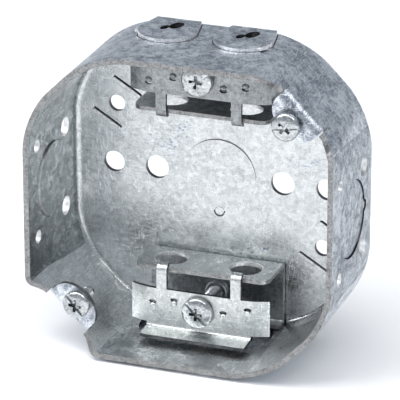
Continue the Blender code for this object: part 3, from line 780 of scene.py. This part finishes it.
tools = [
    drill(0.0, back - sheet, 0.0, knockout_radius + back_seam, sheet * 1.1, steps=96),
    drill(0.0, back, 0.0, knockout_radius - step_in, deep, steps=96),
]
side_tools = []
for side in (1, -1):
    tools.append(drill(side * half, side_knockout_y, 0.0, knockout_radius + seam, deep, "X", 96))
    for radius, x in back_holes:
        tools.append(drill(side * x, back, 0.0, radius, deep))
    tools.append(drill(-side * 0.0317, back, side * 0.0183, corner_hole_radius, deep))
    tools.append(drill(0.0, back, side * screw_drop, clamp_hole_radius, deep))
    tools.append(drill(side * cover_offset, front + ear_depth, side * cover_offset, cover_hole_radius, deep))
    for end in (1, -1):
        for radius, behind, height in side_holes:
            y = side_knockout_y + behind
            side_tools.append(drill(side * half, y, end * height, radius, deep, "X", 32))
# the back's holes, seams and knockout step leave near-black walls: painted shade
combine(shell, in_finish(join(tools, "punch"), punched_edge_painted_shade))
# the side holes leave bright walls: partly a painted highlight
combine(shell, in_finish(join(side_tools, "side_punch"), burnished_edge_and_painted_highlight))

tools = [drill(0.0, back, -knockout_radius, tie_radius, deep)]
for side in (1, -1):
    tools.append(drill(side * half, side_knockout_y + knockout_radius, 0.0, tie_radius, deep, "X"))
    for up in (1, -1):
        opening = tongue_blank("opening", pry_grow)
        apply_modifier(opening, "SOLIDIFY", thickness=deep, offset=0.0)
        outward(opening)
        tools.append(placed(opening, (side * cable_offset, pry_middle, centre + up * half), up))
# the ties and pry-out openings also leave near-black walls: painted shade
combine(shell, in_finish(join(tools, "second_punch"), punched_edge_painted_shade))
print("shell faces after punching:", len(shell.data.polygons))

# %% Soften the sheared edges
round_edges(shell, 0.00022, 2, 50.0)
smooth(shell)


def finished(piece, body, slot, *nodes):
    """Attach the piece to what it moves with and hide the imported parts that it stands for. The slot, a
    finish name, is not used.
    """
    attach(piece, body)
    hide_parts(*nodes)


finished(shell, "box", "galvanised_sheet", "box_body")
print("shell:", len(shell.data.polygons), "faces")

# %% [markdown]
# ## Knockout discs
# A knockout is punched nearly through and pressed flat again, and hangs on one small tie. Each disc is made at
# the origin as a cylinder, with a small rounded cylinder welded on for the tie, and the back one has its rear
# face inset and pulled out to form the step. The side discs stand a little proud inside. All are tipped by
# about a degree about their ties, which catches the light along one edge and leaves a shadow along the other.

# %% Discs in the back and in the two sides
def turn_about(piece, place, angle, axis):
    """Turn a piece about an axis through a place, and keep its object at the origin."""
    place = Vector(place)
    turned = Matrix.Rotation(angle, 4, axis) @ Matrix.Translation(-place)
    piece.matrix_world = Matrix.Translation(place) @ turned @ piece.matrix_world
    settle(piece)


def laid_along(piece, x_way, y_way, z_way, place):
    """Turn a piece made at the origin so that its own axes point these ways, and put it in its place."""
    columns = Matrix((x_way, y_way, z_way)).transposed().to_4x4()
    piece.matrix_world = Matrix.Translation(place) @ columns
    settle(piece)


def sheared(piece, axis, slot=1):
    """Give the second finish to the faces that stand square to the sheet, where it was cut."""
    number = "XYZ".index(axis)
    for face in piece.data.polygons:
        if abs(face.normal[number]) < 0.6:
            face.material_index = slot


def knockout(name, lip, step, proud, tip, skew, finishes):
    """A disc whose front faces -Y at the origin, with its tie at the bottom.

    The finishes are those of its front, of its cut edge and of its back.
    """
    deselect()
    bpy.ops.mesh.primitive_cylinder_add(
        vertices=96, radius=knockout_radius, depth=lip,
        location=(0.0, lip / 2, 0.0), rotation=(pi / 2, 0.0, 0.0),
    )
    disc = added(name)
    if step:
        edit(disc)
        select("FACE", lambda p, n: n.y > 0.9)
        bpy.ops.mesh.inset(thickness=step)
        bpy.ops.mesh.extrude_region_move(TRANSFORM_OT_translate={"value": (0.0, sheet - lip, 0.0)})
        bpy.ops.object.mode_set(mode="OBJECT")
    # the tie is a little thicker than the sheet, most of it to the front
    tie = drill(0.0, sheet / 2 - 0.00008, 0.0, tie_radius - 0.0002, sheet + 0.00015, steps=40)
    tie.location = (0.0, 0.0, -centre - knockout_radius)
    settle(tie)
    round_edges(tie, 0.0005, 3)
    combine(disc, tie, "UNION")
    round_edges(disc, 0.00018, 2, 50.0)
    in_finish(disc, *finishes)
    sheared(disc, "Y")
    for face in disc.data.polygons:
        if face.normal.y > 0.6:
            face.material_index = 2
    turn_about(disc, (0.0, 0.0, -knockout_radius), tip, "X")
    turn_about(disc, (0.0, 0.0, 0.0), skew, "Z")
    disc.location = (0.0, -proud, 0.0)
    settle(disc)
    return disc


# the back disc's cut edge is near-black: painted shade
back_disc = knockout(
    "back_disc", sheet * 0.55 - 0.00003, step_in + back_seam, 0.0, radians(1.2), radians(0.6),
    (inside_zinc, punched_edge_painted_shade, wall_zinc),
)
laid_along(back_disc, (1, 0, 0), (0, 1, 0), (0, 0, 1), (0.0, back - sheet, centre))
smooth(back_disc)
finished(back_disc, "back_knockout", "galvanised_sheet", "back_knockout")
# Left disc: painted shade on its inner face and a painted highlight on its rim. Right disc: painted shade on
# its cut edge and on its outer face.
side_discs = (
    (-1, "left", (left_inside_painted_shade_zinc, burnished_edge_and_painted_highlight, wall_zinc)),
    (1, "right", (inside_zinc, punched_edge_painted_shade, right_outside_painted_shade_zinc)),
)
for side, name, finishes in side_discs:
    disc = knockout(name + "_disc", sheet, 0.0, 0.0003, radians(0.9), 0.0, finishes)
    laid_along(disc, (0, 0, -side), (side, 0, 0), (0, -1, 0), (side * (half - sheet), side_knockout_y, centre))
    smooth(disc)
    finished(disc, name + "_knockout", "galvanised_sheet", name + "_knockout")
    print(name, "disc spans x", round(min(v.co.x for v in disc.data.vertices) * 1000, 2))

# %% [markdown]
# ## Pry-outs
# Four tabs over the clamps are sheared on all sides and lifted a little, so that a screwdriver in their slot
# can twist them off. Each is the flat outline that also cut its opening, given the sheet's thickness. Two oval
# punches that run into each other make the slot, and a short sloping tie still joins the tab to the wall.

# %% Tabs with their slots and ties
punch_slant = radians(-12)
slot_punches = ((-0.0015, 0.0013, 0.0022, 0.0038), (0.0012, 0.0038, 0.0036, 0.0058))


def oval_drill(x, y, across_x, across_y, slant):
    """An upright oval cutting tool with its middle at a place in the tab."""
    deselect()
    bpy.ops.mesh.primitive_cylinder_add(vertices=40, radius=0.5, depth=deep * 2, rotation=(0.0, 0.0, slant))
    tool = bpy.context.object
    tool.scale = (across_x, across_y, 1.0)
    tool.location = (x, y, 0.0)
    return added("slot_punch")


def pryout(name, tie_angle):
    """A raised tab made round the middle of its round front, its top face at the raised height."""
    # the tab's cut sides and its tie are bright: partly a painted highlight
    tab = in_finish(tongue_blank(name), wall_zinc, burnished_edge_and_painted_highlight)
    apply_modifier(tab, "SOLIDIFY", thickness=sheet, offset=-1.0)
    tab.location = (0.0, 0.0, pry_raise)
    settle(tab)
    outward(tab)
    deselect()
    bpy.ops.mesh.primitive_cube_add(size=1.0, scale=(0.0028, 0.0022, 0.0007))
    tie = added("tie")
    turn_about(tie, (0.0, 0.0, 0.0), radians(-20), "X")
    tie.location = (0.0, 0.0002 - pry_radius, pry_raise * 0.45 - 0.00022)
    settle(tie)
    turn_about(tie, (0.0, 0.0, 0.0), tie_angle, "Z")
    round_edges(tie, 0.0002, 2)
    combine(tab, in_finish(tie, burnished_edge_and_painted_highlight), "UNION")
    sheared(tab, "Z")
    # the slot walls are near-black: painted shade
    for x, y, across_x, across_y in slot_punches:
        combine(tab, in_finish(oval_drill(x, y, across_x, across_y, punch_slant), punched_edge_painted_shade))
    round_edges(tab, 0.00015, 2, 50.0)
    return tab


# a tab turned over for the bottom of the box lands on the other side of it
for side, tie_angle in ((-1, radians(-80)), (1, radians(57))):
    for up, level in ((1, "top"), (-1, "bottom")):
        label = level + ("_left" if side * up < 0 else "_right")
        tab = placed(pryout(label + "_tab", tie_angle), (side * up * cable_offset, pry_middle, 0.0), up)
        tab.location = (0.0, 0.0, centre + up * half)
        settle(tab)
        smooth(tab)
        finished(tab, label + "_pryout", "galvanised_sheet", label + "_pryout")
        print(label, "tab:", len(tab.data.polygons), "faces")

# %% [markdown]
# ## Clamp brackets
# A bracket is one strip bent into a C: the stop plate with two holes for the cables, the back with a drawn and
# tapped collar for the screw, and a short foot on the wall. It is modelled as the strip is bent, a plane whose
# edge is pulled out twice, with its corners and bends rounded before it gets its thickness.

# %% The lower bracket
stop_low, stop_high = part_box("lower_clamp_bracket")
stop_half = stop_high.x
strip = 0.0012
foot_length = 0.0043
cable_hole_y = stop_high.y - 0.0086
cable_hole_radius = 0.0048
cable_hole_squash = 0.92
clamp_thread_radius = 0.0023
screw_height = (screw_low.z + screw_high.z) / 2

deselect()
bpy.ops.mesh.primitive_plane_add(size=1.0)
bracket = added("stop_bracket")
edit(bracket)
stop_middle = Vector((0.0, (stop_low.y + stop_high.y) / 2, stop_high.z))
stop_length = stop_high.y - stop_low.y
move_points(lambda p: stop_middle + Vector((p.x * 2 * stop_half, p.y * stop_length, 0.0)))
select("VERT", lambda p: p.y < stop_low.y + 1e-5)
bpy.ops.mesh.bevel(offset=0.0030, affect="VERTICES", segments=8)
select("EDGE", lambda p: abs(p.y - stop_high.y) < 1e-6)
drop = stop_low.z - stop_high.z
bpy.ops.mesh.extrude_edges_move(TRANSFORM_OT_translate={"value": (0.0, 0.0, drop)})
bpy.ops.mesh.extrude_edges_move(TRANSFORM_OT_translate={"value": (0.0, -foot_length, 0.0)})


def at_a_bend(p):
    return abs(p.y - stop_high.y) < 1e-6 and min(abs(p.z - stop_high.z), abs(p.z - stop_low.z)) < 1e-6


select("EDGE", at_a_bend)
bpy.ops.mesh.bevel(offset=0.0018, affect="EDGES", segments=6)
bpy.ops.object.mode_set(mode="OBJECT")
outward(bracket)
# the inner faces of the strip take the darker grey: painted shade
in_finish(bracket, clamp_zinc, painted_shade_clamp_inside, edge_zinc)
apply_modifier(
    bracket, "SOLIDIFY", thickness=strip, offset=-1.0, use_even_offset=True,
    material_offset=1, material_offset_rim=2,
)
collar = drill(0.0, stop_high.y - strip - 0.0006, screw_height - centre, 0.0034, 0.0016)
round_edges(collar, 0.0005, 3)
combine(bracket, in_finish(collar, painted_shade_clamp_inside), "UNION")
bores = [drill(0.0, stop_high.y, screw_height - centre, clamp_thread_radius + 0.0001, 0.01)]
for side in (1, -1):
    bore = drill(side * cable_offset, 0.0, stop_high.z - centre, cable_hole_radius, 0.004, "Z")
    bore.scale = (1.0, cable_hole_squash, 1.0)
    bore.location = (0.0, cable_hole_y + 0.0004, 0.0)
    settle(bore)
    bores.append(bore)
    deselect()
    bpy.ops.mesh.primitive_cone_add(
        vertices=48, radius1=cable_hole_radius - 0.0002, radius2=cable_hole_radius + 0.0011, depth=0.0006,
        location=(side * cable_offset, cable_hole_y, stop_high.z),
    )
    bores.append(added("flare"))
# the cable holes and their flares are bright: partly a painted highlight
for bore in bores:
    combine(bracket, in_finish(bore, burnished_edge_and_painted_highlight))
round_edges(bracket, 0.00018, 2, 50.0)
smooth(bracket)
print("bracket", [round(v * 1000, 1) for v in bracket.dimensions])

# %% [markdown]
# ## Pressure plates
# The plate hangs from the stop plate by two straps hooked through it, and its screw pulls it against the
# cables. It starts as a grid whose columns are moved to where the straps, the lip and the curved ends begin.
# Edges are pulled out for the straps and the lip, and the ends are swept back. The plate has four small barbs
# that bite the cable: each is a short slit, with the metal below it pushed out into a bulge.

# %% The lower pressure plate
plate_low, plate_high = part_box("lower_clamp_plate")
plate_half = plate_high.x
plate_sheet = 0.0010
plate_y = stop_low.y - 0.0015
plate_top = centre - 0.0302
plate_bottom = centre - 0.0412
lip_half = plate_half - 0.0052
strap_half = 0.00155
end_length = 0.0082
end_start = plate_half - end_length
sweep = 0.0020              # how far the ends stand back
hook_z = stop_high.z + 0.0003 + plate_sheet
hook_length = 0.0009        # how far a hook reaches over the stop plate
end_columns = {end_start + end_length * i / 6 for i in range(7)}
columns = sorted(end_columns | {lip_half, cable_offset - strap_half, cable_offset + strap_half, 0.0046})
columns = [-x for x in reversed(columns)] + columns

deselect()
bpy.ops.mesh.primitive_grid_add(x_subdivisions=len(columns) - 1, y_subdivisions=2, size=1.0)
plate = added("pressure_plate")
edit(plate)
plate_height = plate_top - plate_bottom
move_points(lambda p: Vector((
    columns[round((p.x + 0.5) * (len(columns) - 1))], plate_y, plate_bottom + (p.y + 0.5) * plate_height
)))


def strap_edge(p, y, z):
    return abs(abs(p.x) - cable_offset) < strap_half * 0.7 and abs(p.y - y) < 1e-5 and abs(p.z - z) < 1e-5


def lip_edge(p, y, z):
    return abs(p.x) < lip_half - 1e-5 and abs(p.y - y) < 1e-5 and abs(p.z - z) < 1e-5


select("EDGE", lambda p: strap_edge(p, plate_y, plate_top))
bpy.ops.mesh.extrude_edges_move(TRANSFORM_OT_translate={"value": (0.0, 0.0, hook_z - plate_top)})
hook_run = stop_low.y + hook_length - plate_y
bpy.ops.mesh.extrude_edges_move(TRANSFORM_OT_translate={"value": (0.0, hook_run, 0.0)})
select("EDGE", lambda p: strap_edge(p, plate_y, hook_z))
bpy.ops.mesh.bevel(offset=0.0022, affect="EDGES", segments=6)

lip_bend = 0.0009
slope = 0.30
corner = Vector((0.0, plate_y - lip_bend, plate_bottom))
select("EDGE", lambda p: lip_edge(p, plate_y, plate_bottom))
last = Vector((0.0, plate_y, plate_bottom))
for i in range(1, 6):
    angle = (pi / 2 - slope) * i / 5
    reached = corner + Vector((0.0, lip_bend * cos(angle), -lip_bend * sin(angle)))
    bpy.ops.mesh.extrude_edges_move(TRANSFORM_OT_translate={"value": reached - last})
    last = reached
lip_goal = Vector((0.0, plate_y - 0.0060, centre - 0.0424))
bpy.ops.mesh.extrude_edges_move(TRANSFORM_OT_translate={"value": lip_goal - last})
move_points(lambda p: p + Vector((0.0, sweep * max(0.0, (abs(p.x) - end_start) / end_length) ** 2, 0.0)))
bpy.ops.object.mode_set(mode="OBJECT")
outward(plate)
edit(plate)
upright = [f for f in bmesh.from_edit_mesh(plate.data).faces if abs(f.normal.y) > 0.9]
if upright[0].normal.y > 0:
    bpy.ops.mesh.select_all(action="SELECT")
    bpy.ops.mesh.flip_normals()
bpy.ops.object.mode_set(mode="OBJECT")
in_finish(plate, clamp_zinc, clamp_zinc, edge_zinc)
apply_modifier(
    plate, "SOLIDIFY", thickness=plate_sheet, offset=-1.0, use_even_offset=True,
    material_offset=1, material_offset_rim=2,
)
print("plate", [round(v * 1000, 1) for v in plate.dimensions], "expected",
      [round(v * 1000, 1) for v in plate_high - plate_low])

# %% Barbs, and the hole for the screw
through_plate = 0.006
screw_hole_radius = 0.0026
for x, z in ((-0.0141, -0.0345), (-0.0075, -0.0332), (0.0076, -0.0350), (0.0150, -0.0330)):
    # the cut is widened where it stands at the origin, and only then put in its place
    slit_cut = drill(0.0, 0.0, 0.0, 0.0006, through_plate, steps=24)
    slit_cut.location = (0.0, 0.0, -centre)
    settle(slit_cut)
    slit_cut.scale = (1.9, 1.0, 1.0)
    settle(slit_cut)
    slit_cut.location = (x, plate_y, centre + z)
    settle(slit_cut)
    # the slit's near-black walls are painted shade
    combine(plate, in_finish(slit_cut, punched_edge_painted_shade))
    deselect()
    bpy.ops.mesh.primitive_uv_sphere_add(segments=24, ring_count=12, radius=0.001)
    bulge = added("barb")
    bulge.scale = (1.05, 0.75, 0.8)
    settle(bulge)
    bulge.location = (x, plate_y + 0.0001, centre + z - 0.0010)
    settle(bulge)
    combine(plate, in_finish(bulge, clamp_zinc), "UNION")
# the screw hole's near-black walls are painted shade
for z in (-0.0357, -0.0363):
    combine(plate, in_finish(drill(0.0, plate_y, z, screw_hole_radius, through_plate), punched_edge_painted_shade))
round_edges(plate, 0.00015, 2, 50.0)
smooth(plate)
print("plate:", len(plate.data.polygons), "faces")

# %% The upper clamp is the lower one turned upside down
def copied(piece, name):
    twin = piece.copy()
    twin.data = piece.data.copy()
    twin.name = name
    twin.data.name = name
    bpy.context.scene.collection.objects.link(twin)
    return twin


# a bracket stays with the box, and a plate moves by itself
for original, label, body in ((bracket, "clamp_bracket", "box"), (plate, "clamp_plate", None)):
    twin = copied(original, "upper_" + original.name)
    turn_about(twin, (0.0, 0.0, centre), pi, "Y")
    # the upper plate takes the darker copy of the clamp zinc: painted shade
    if original is plate:
        twin.data.materials[0] = upper_plate_painted_shade_zinc
        twin.data.materials[1] = upper_plate_painted_shade_zinc
    finished(twin, body or "upper_" + label, "clamp_steel", "upper_" + label)
    original.name = "lower_" + original.name
    finished(original, body or "lower_" + label, "clamp_steel", "lower_" + label)
print("clamps in place")

# %% [markdown]
# ## Screws
# All four screws are plated steel with a low domed head that takes a slotted or a cross driver, and a thread
# of about 32 turns to the inch. The head is a cylinder whose face is inset and lifted ring by ring into a dome
# and then cut by a bar and a tapering cross. The thread is a three-cornered outline carried round the shank
# by a Screw modifier, as a ridge that winds round a plain core.

# %% One screw
pitch = 0.00079
thread_depth = 0.0005
dome_turn = pi / 2 * 0.86   # how much of a quarter turn the dome covers
dome_steps = 9


def taper(tool, share):
    """Narrow the rear end of a tool that points along +Y."""
    middle = sum((v.co for v in tool.data.vertices), Vector()) / len(tool.data.vertices)
    edit(tool)
    move_points(lambda p: Vector((
        middle.x + (p.x - middle.x) * share, p.y, middle.z + (p.z - middle.z) * share
    )) if p.y > middle.y else None)
    bpy.ops.object.mode_set(mode="OBJECT")


def bar(width, height, depth, turn_y):
    deselect()
    bpy.ops.mesh.primitive_cube_add(size=1.0, scale=(width, depth * 2, height))
    made = added("bar")
    turn_about(made, (0.0, 0.0, 0.0), turn_y, "Y")
    return made


def screw(name, place, radius, head_radius, head_height, length, slot_turn):
    """A pan-head screw along Y, with the underside of its head at its place."""
    dome = head_height * 0.5
    deselect()
    bpy.ops.mesh.primitive_cylinder_add(
        vertices=64, radius=head_radius, depth=head_height - dome,
        location=(0.0, -(head_height - dome) / 2, 0.0), rotation=(pi / 2, 0.0, 0.0),
    )
    head = added(name)
    edit(head)
    select("FACE", lambda p, n: n.y < -0.9)
    for i in range(dome_steps):
        before = dome_turn * i / dome_steps
        after = dome_turn * (i + 1) / dome_steps
        bpy.ops.mesh.inset(thickness=head_radius * (cos(before) - cos(after)))
        rise = dome * (sin(after) - sin(before))
        shift_selected(Vector((0.0, -rise, 0.0)))
    bpy.ops.object.mode_set(mode="OBJECT")
    cuts = [bar(2.4 * head_radius, 0.0011, 0.0009, slot_turn)]
    for quarter in (pi / 4, -pi / 4):
        arm = bar(0.0054, 0.0012, 0.0019, slot_turn + quarter)
        taper(arm, 0.5)
        cuts.append(arm)
    for tool in cuts:
        tool.location = (0.0, -head_height, 0.0)
        settle(tool)
        combine(head, tool)
    round_edges(head, 0.00012, 2, 40.0)

    core = radius - thread_depth
    deselect()
    bpy.ops.mesh.primitive_cylinder_add(
        vertices=40, radius=core, depth=length + 0.0004,
        location=(0.0, length / 2 - 0.0002, 0.0), rotation=(pi / 2, 0.0, 0.0),
    )
    shank = added("shank")
    edit(shank)
    select("FACE", lambda p, n: n.y > 0.9)
    bpy.ops.mesh.inset(thickness=core * 0.25)
    shift_selected(Vector((0.0, 0.0002, 0.0)))
    bpy.ops.object.mode_set(mode="OBJECT")

    deselect()
    bpy.ops.mesh.primitive_circle_add(vertices=3, radius=0.5, fill_type="NOTHING")
    ridge = added("ridge")
    edit(ridge)
    bm = bmesh.from_edit_mesh(ridge.data)
    outline = ((core - 0.0001, 0.0), (radius, pitch * 0.46), (core - 0.0001, pitch * 0.92))
    for vert, (out, along) in zip(bm.verts, outline):
        vert.co = (out, along, 0.0)
    bmesh.update_edit_mesh(ridge.data)
    bpy.ops.object.mode_set(mode="OBJECT")
    turns = int((length - radius * 0.5) / pitch) - 1
    apply_modifier(
        ridge, "SCREW", axis="Y", angle=2 * pi * turns, screw_offset=pitch * turns, iterations=1,
        steps=24 * turns, render_steps=24 * turns, use_smooth_shade=True,
    )
    edit(ridge)
    bpy.ops.mesh.select_mode(type="EDGE")
    bpy.ops.mesh.select_non_manifold()
    bpy.ops.mesh.fill_holes(sides=3)
    bpy.ops.object.mode_set(mode="OBJECT")
    ridge.location = (0.0, 0.0003, 0.0)
    settle(ridge)
    whole = join([head, shank, ridge], name)
    outward(whole)
    whole.location = place
    settle(whole)
    in_finish(whole, screw_zinc)
    smooth(whole, 40.0)
    return whole


head_seat = plate_y - 0.0003
clamp_length = screw_high.y - head_seat
cover_seat = cover_low.y + 0.0022
cover_length = cover_high.y - cover_seat
driver_turns = ((-1, "lower", radians(45), radians(50)), (1, "upper", radians(-40), radians(-8)))
for up, level, clamp_turn, cover_turn in driver_turns:
    place = (0.0, head_seat, centre - up * (screw_height - centre))
    clamp_screw = screw(
        level + "_clamping_screw", place, clamp_thread_radius, 0.00465, 0.0023, clamp_length, clamp_turn
    )
    finished(clamp_screw, level + "_clamp_screw", "screw_zinc", level + "_clamp_screw")
    place = (up * cover_offset, cover_seat, centre + up * cover_offset)
    cover_screw = screw(level + "_lid_screw", place, 0.00205, 0.00405, 0.0022, cover_length, cover_turn)
    finished(cover_screw, level + "_cover_screw", "screw_zinc", level + "_cover_screw")
print("screws in place")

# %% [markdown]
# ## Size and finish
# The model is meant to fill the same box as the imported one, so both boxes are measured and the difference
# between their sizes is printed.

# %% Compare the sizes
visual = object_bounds()
grown = (visual[1] - visual[0]) - (cad_box[1] - cad_box[0])
print("grown by", [round(v * 1000, 3) for v in grown], "mm")
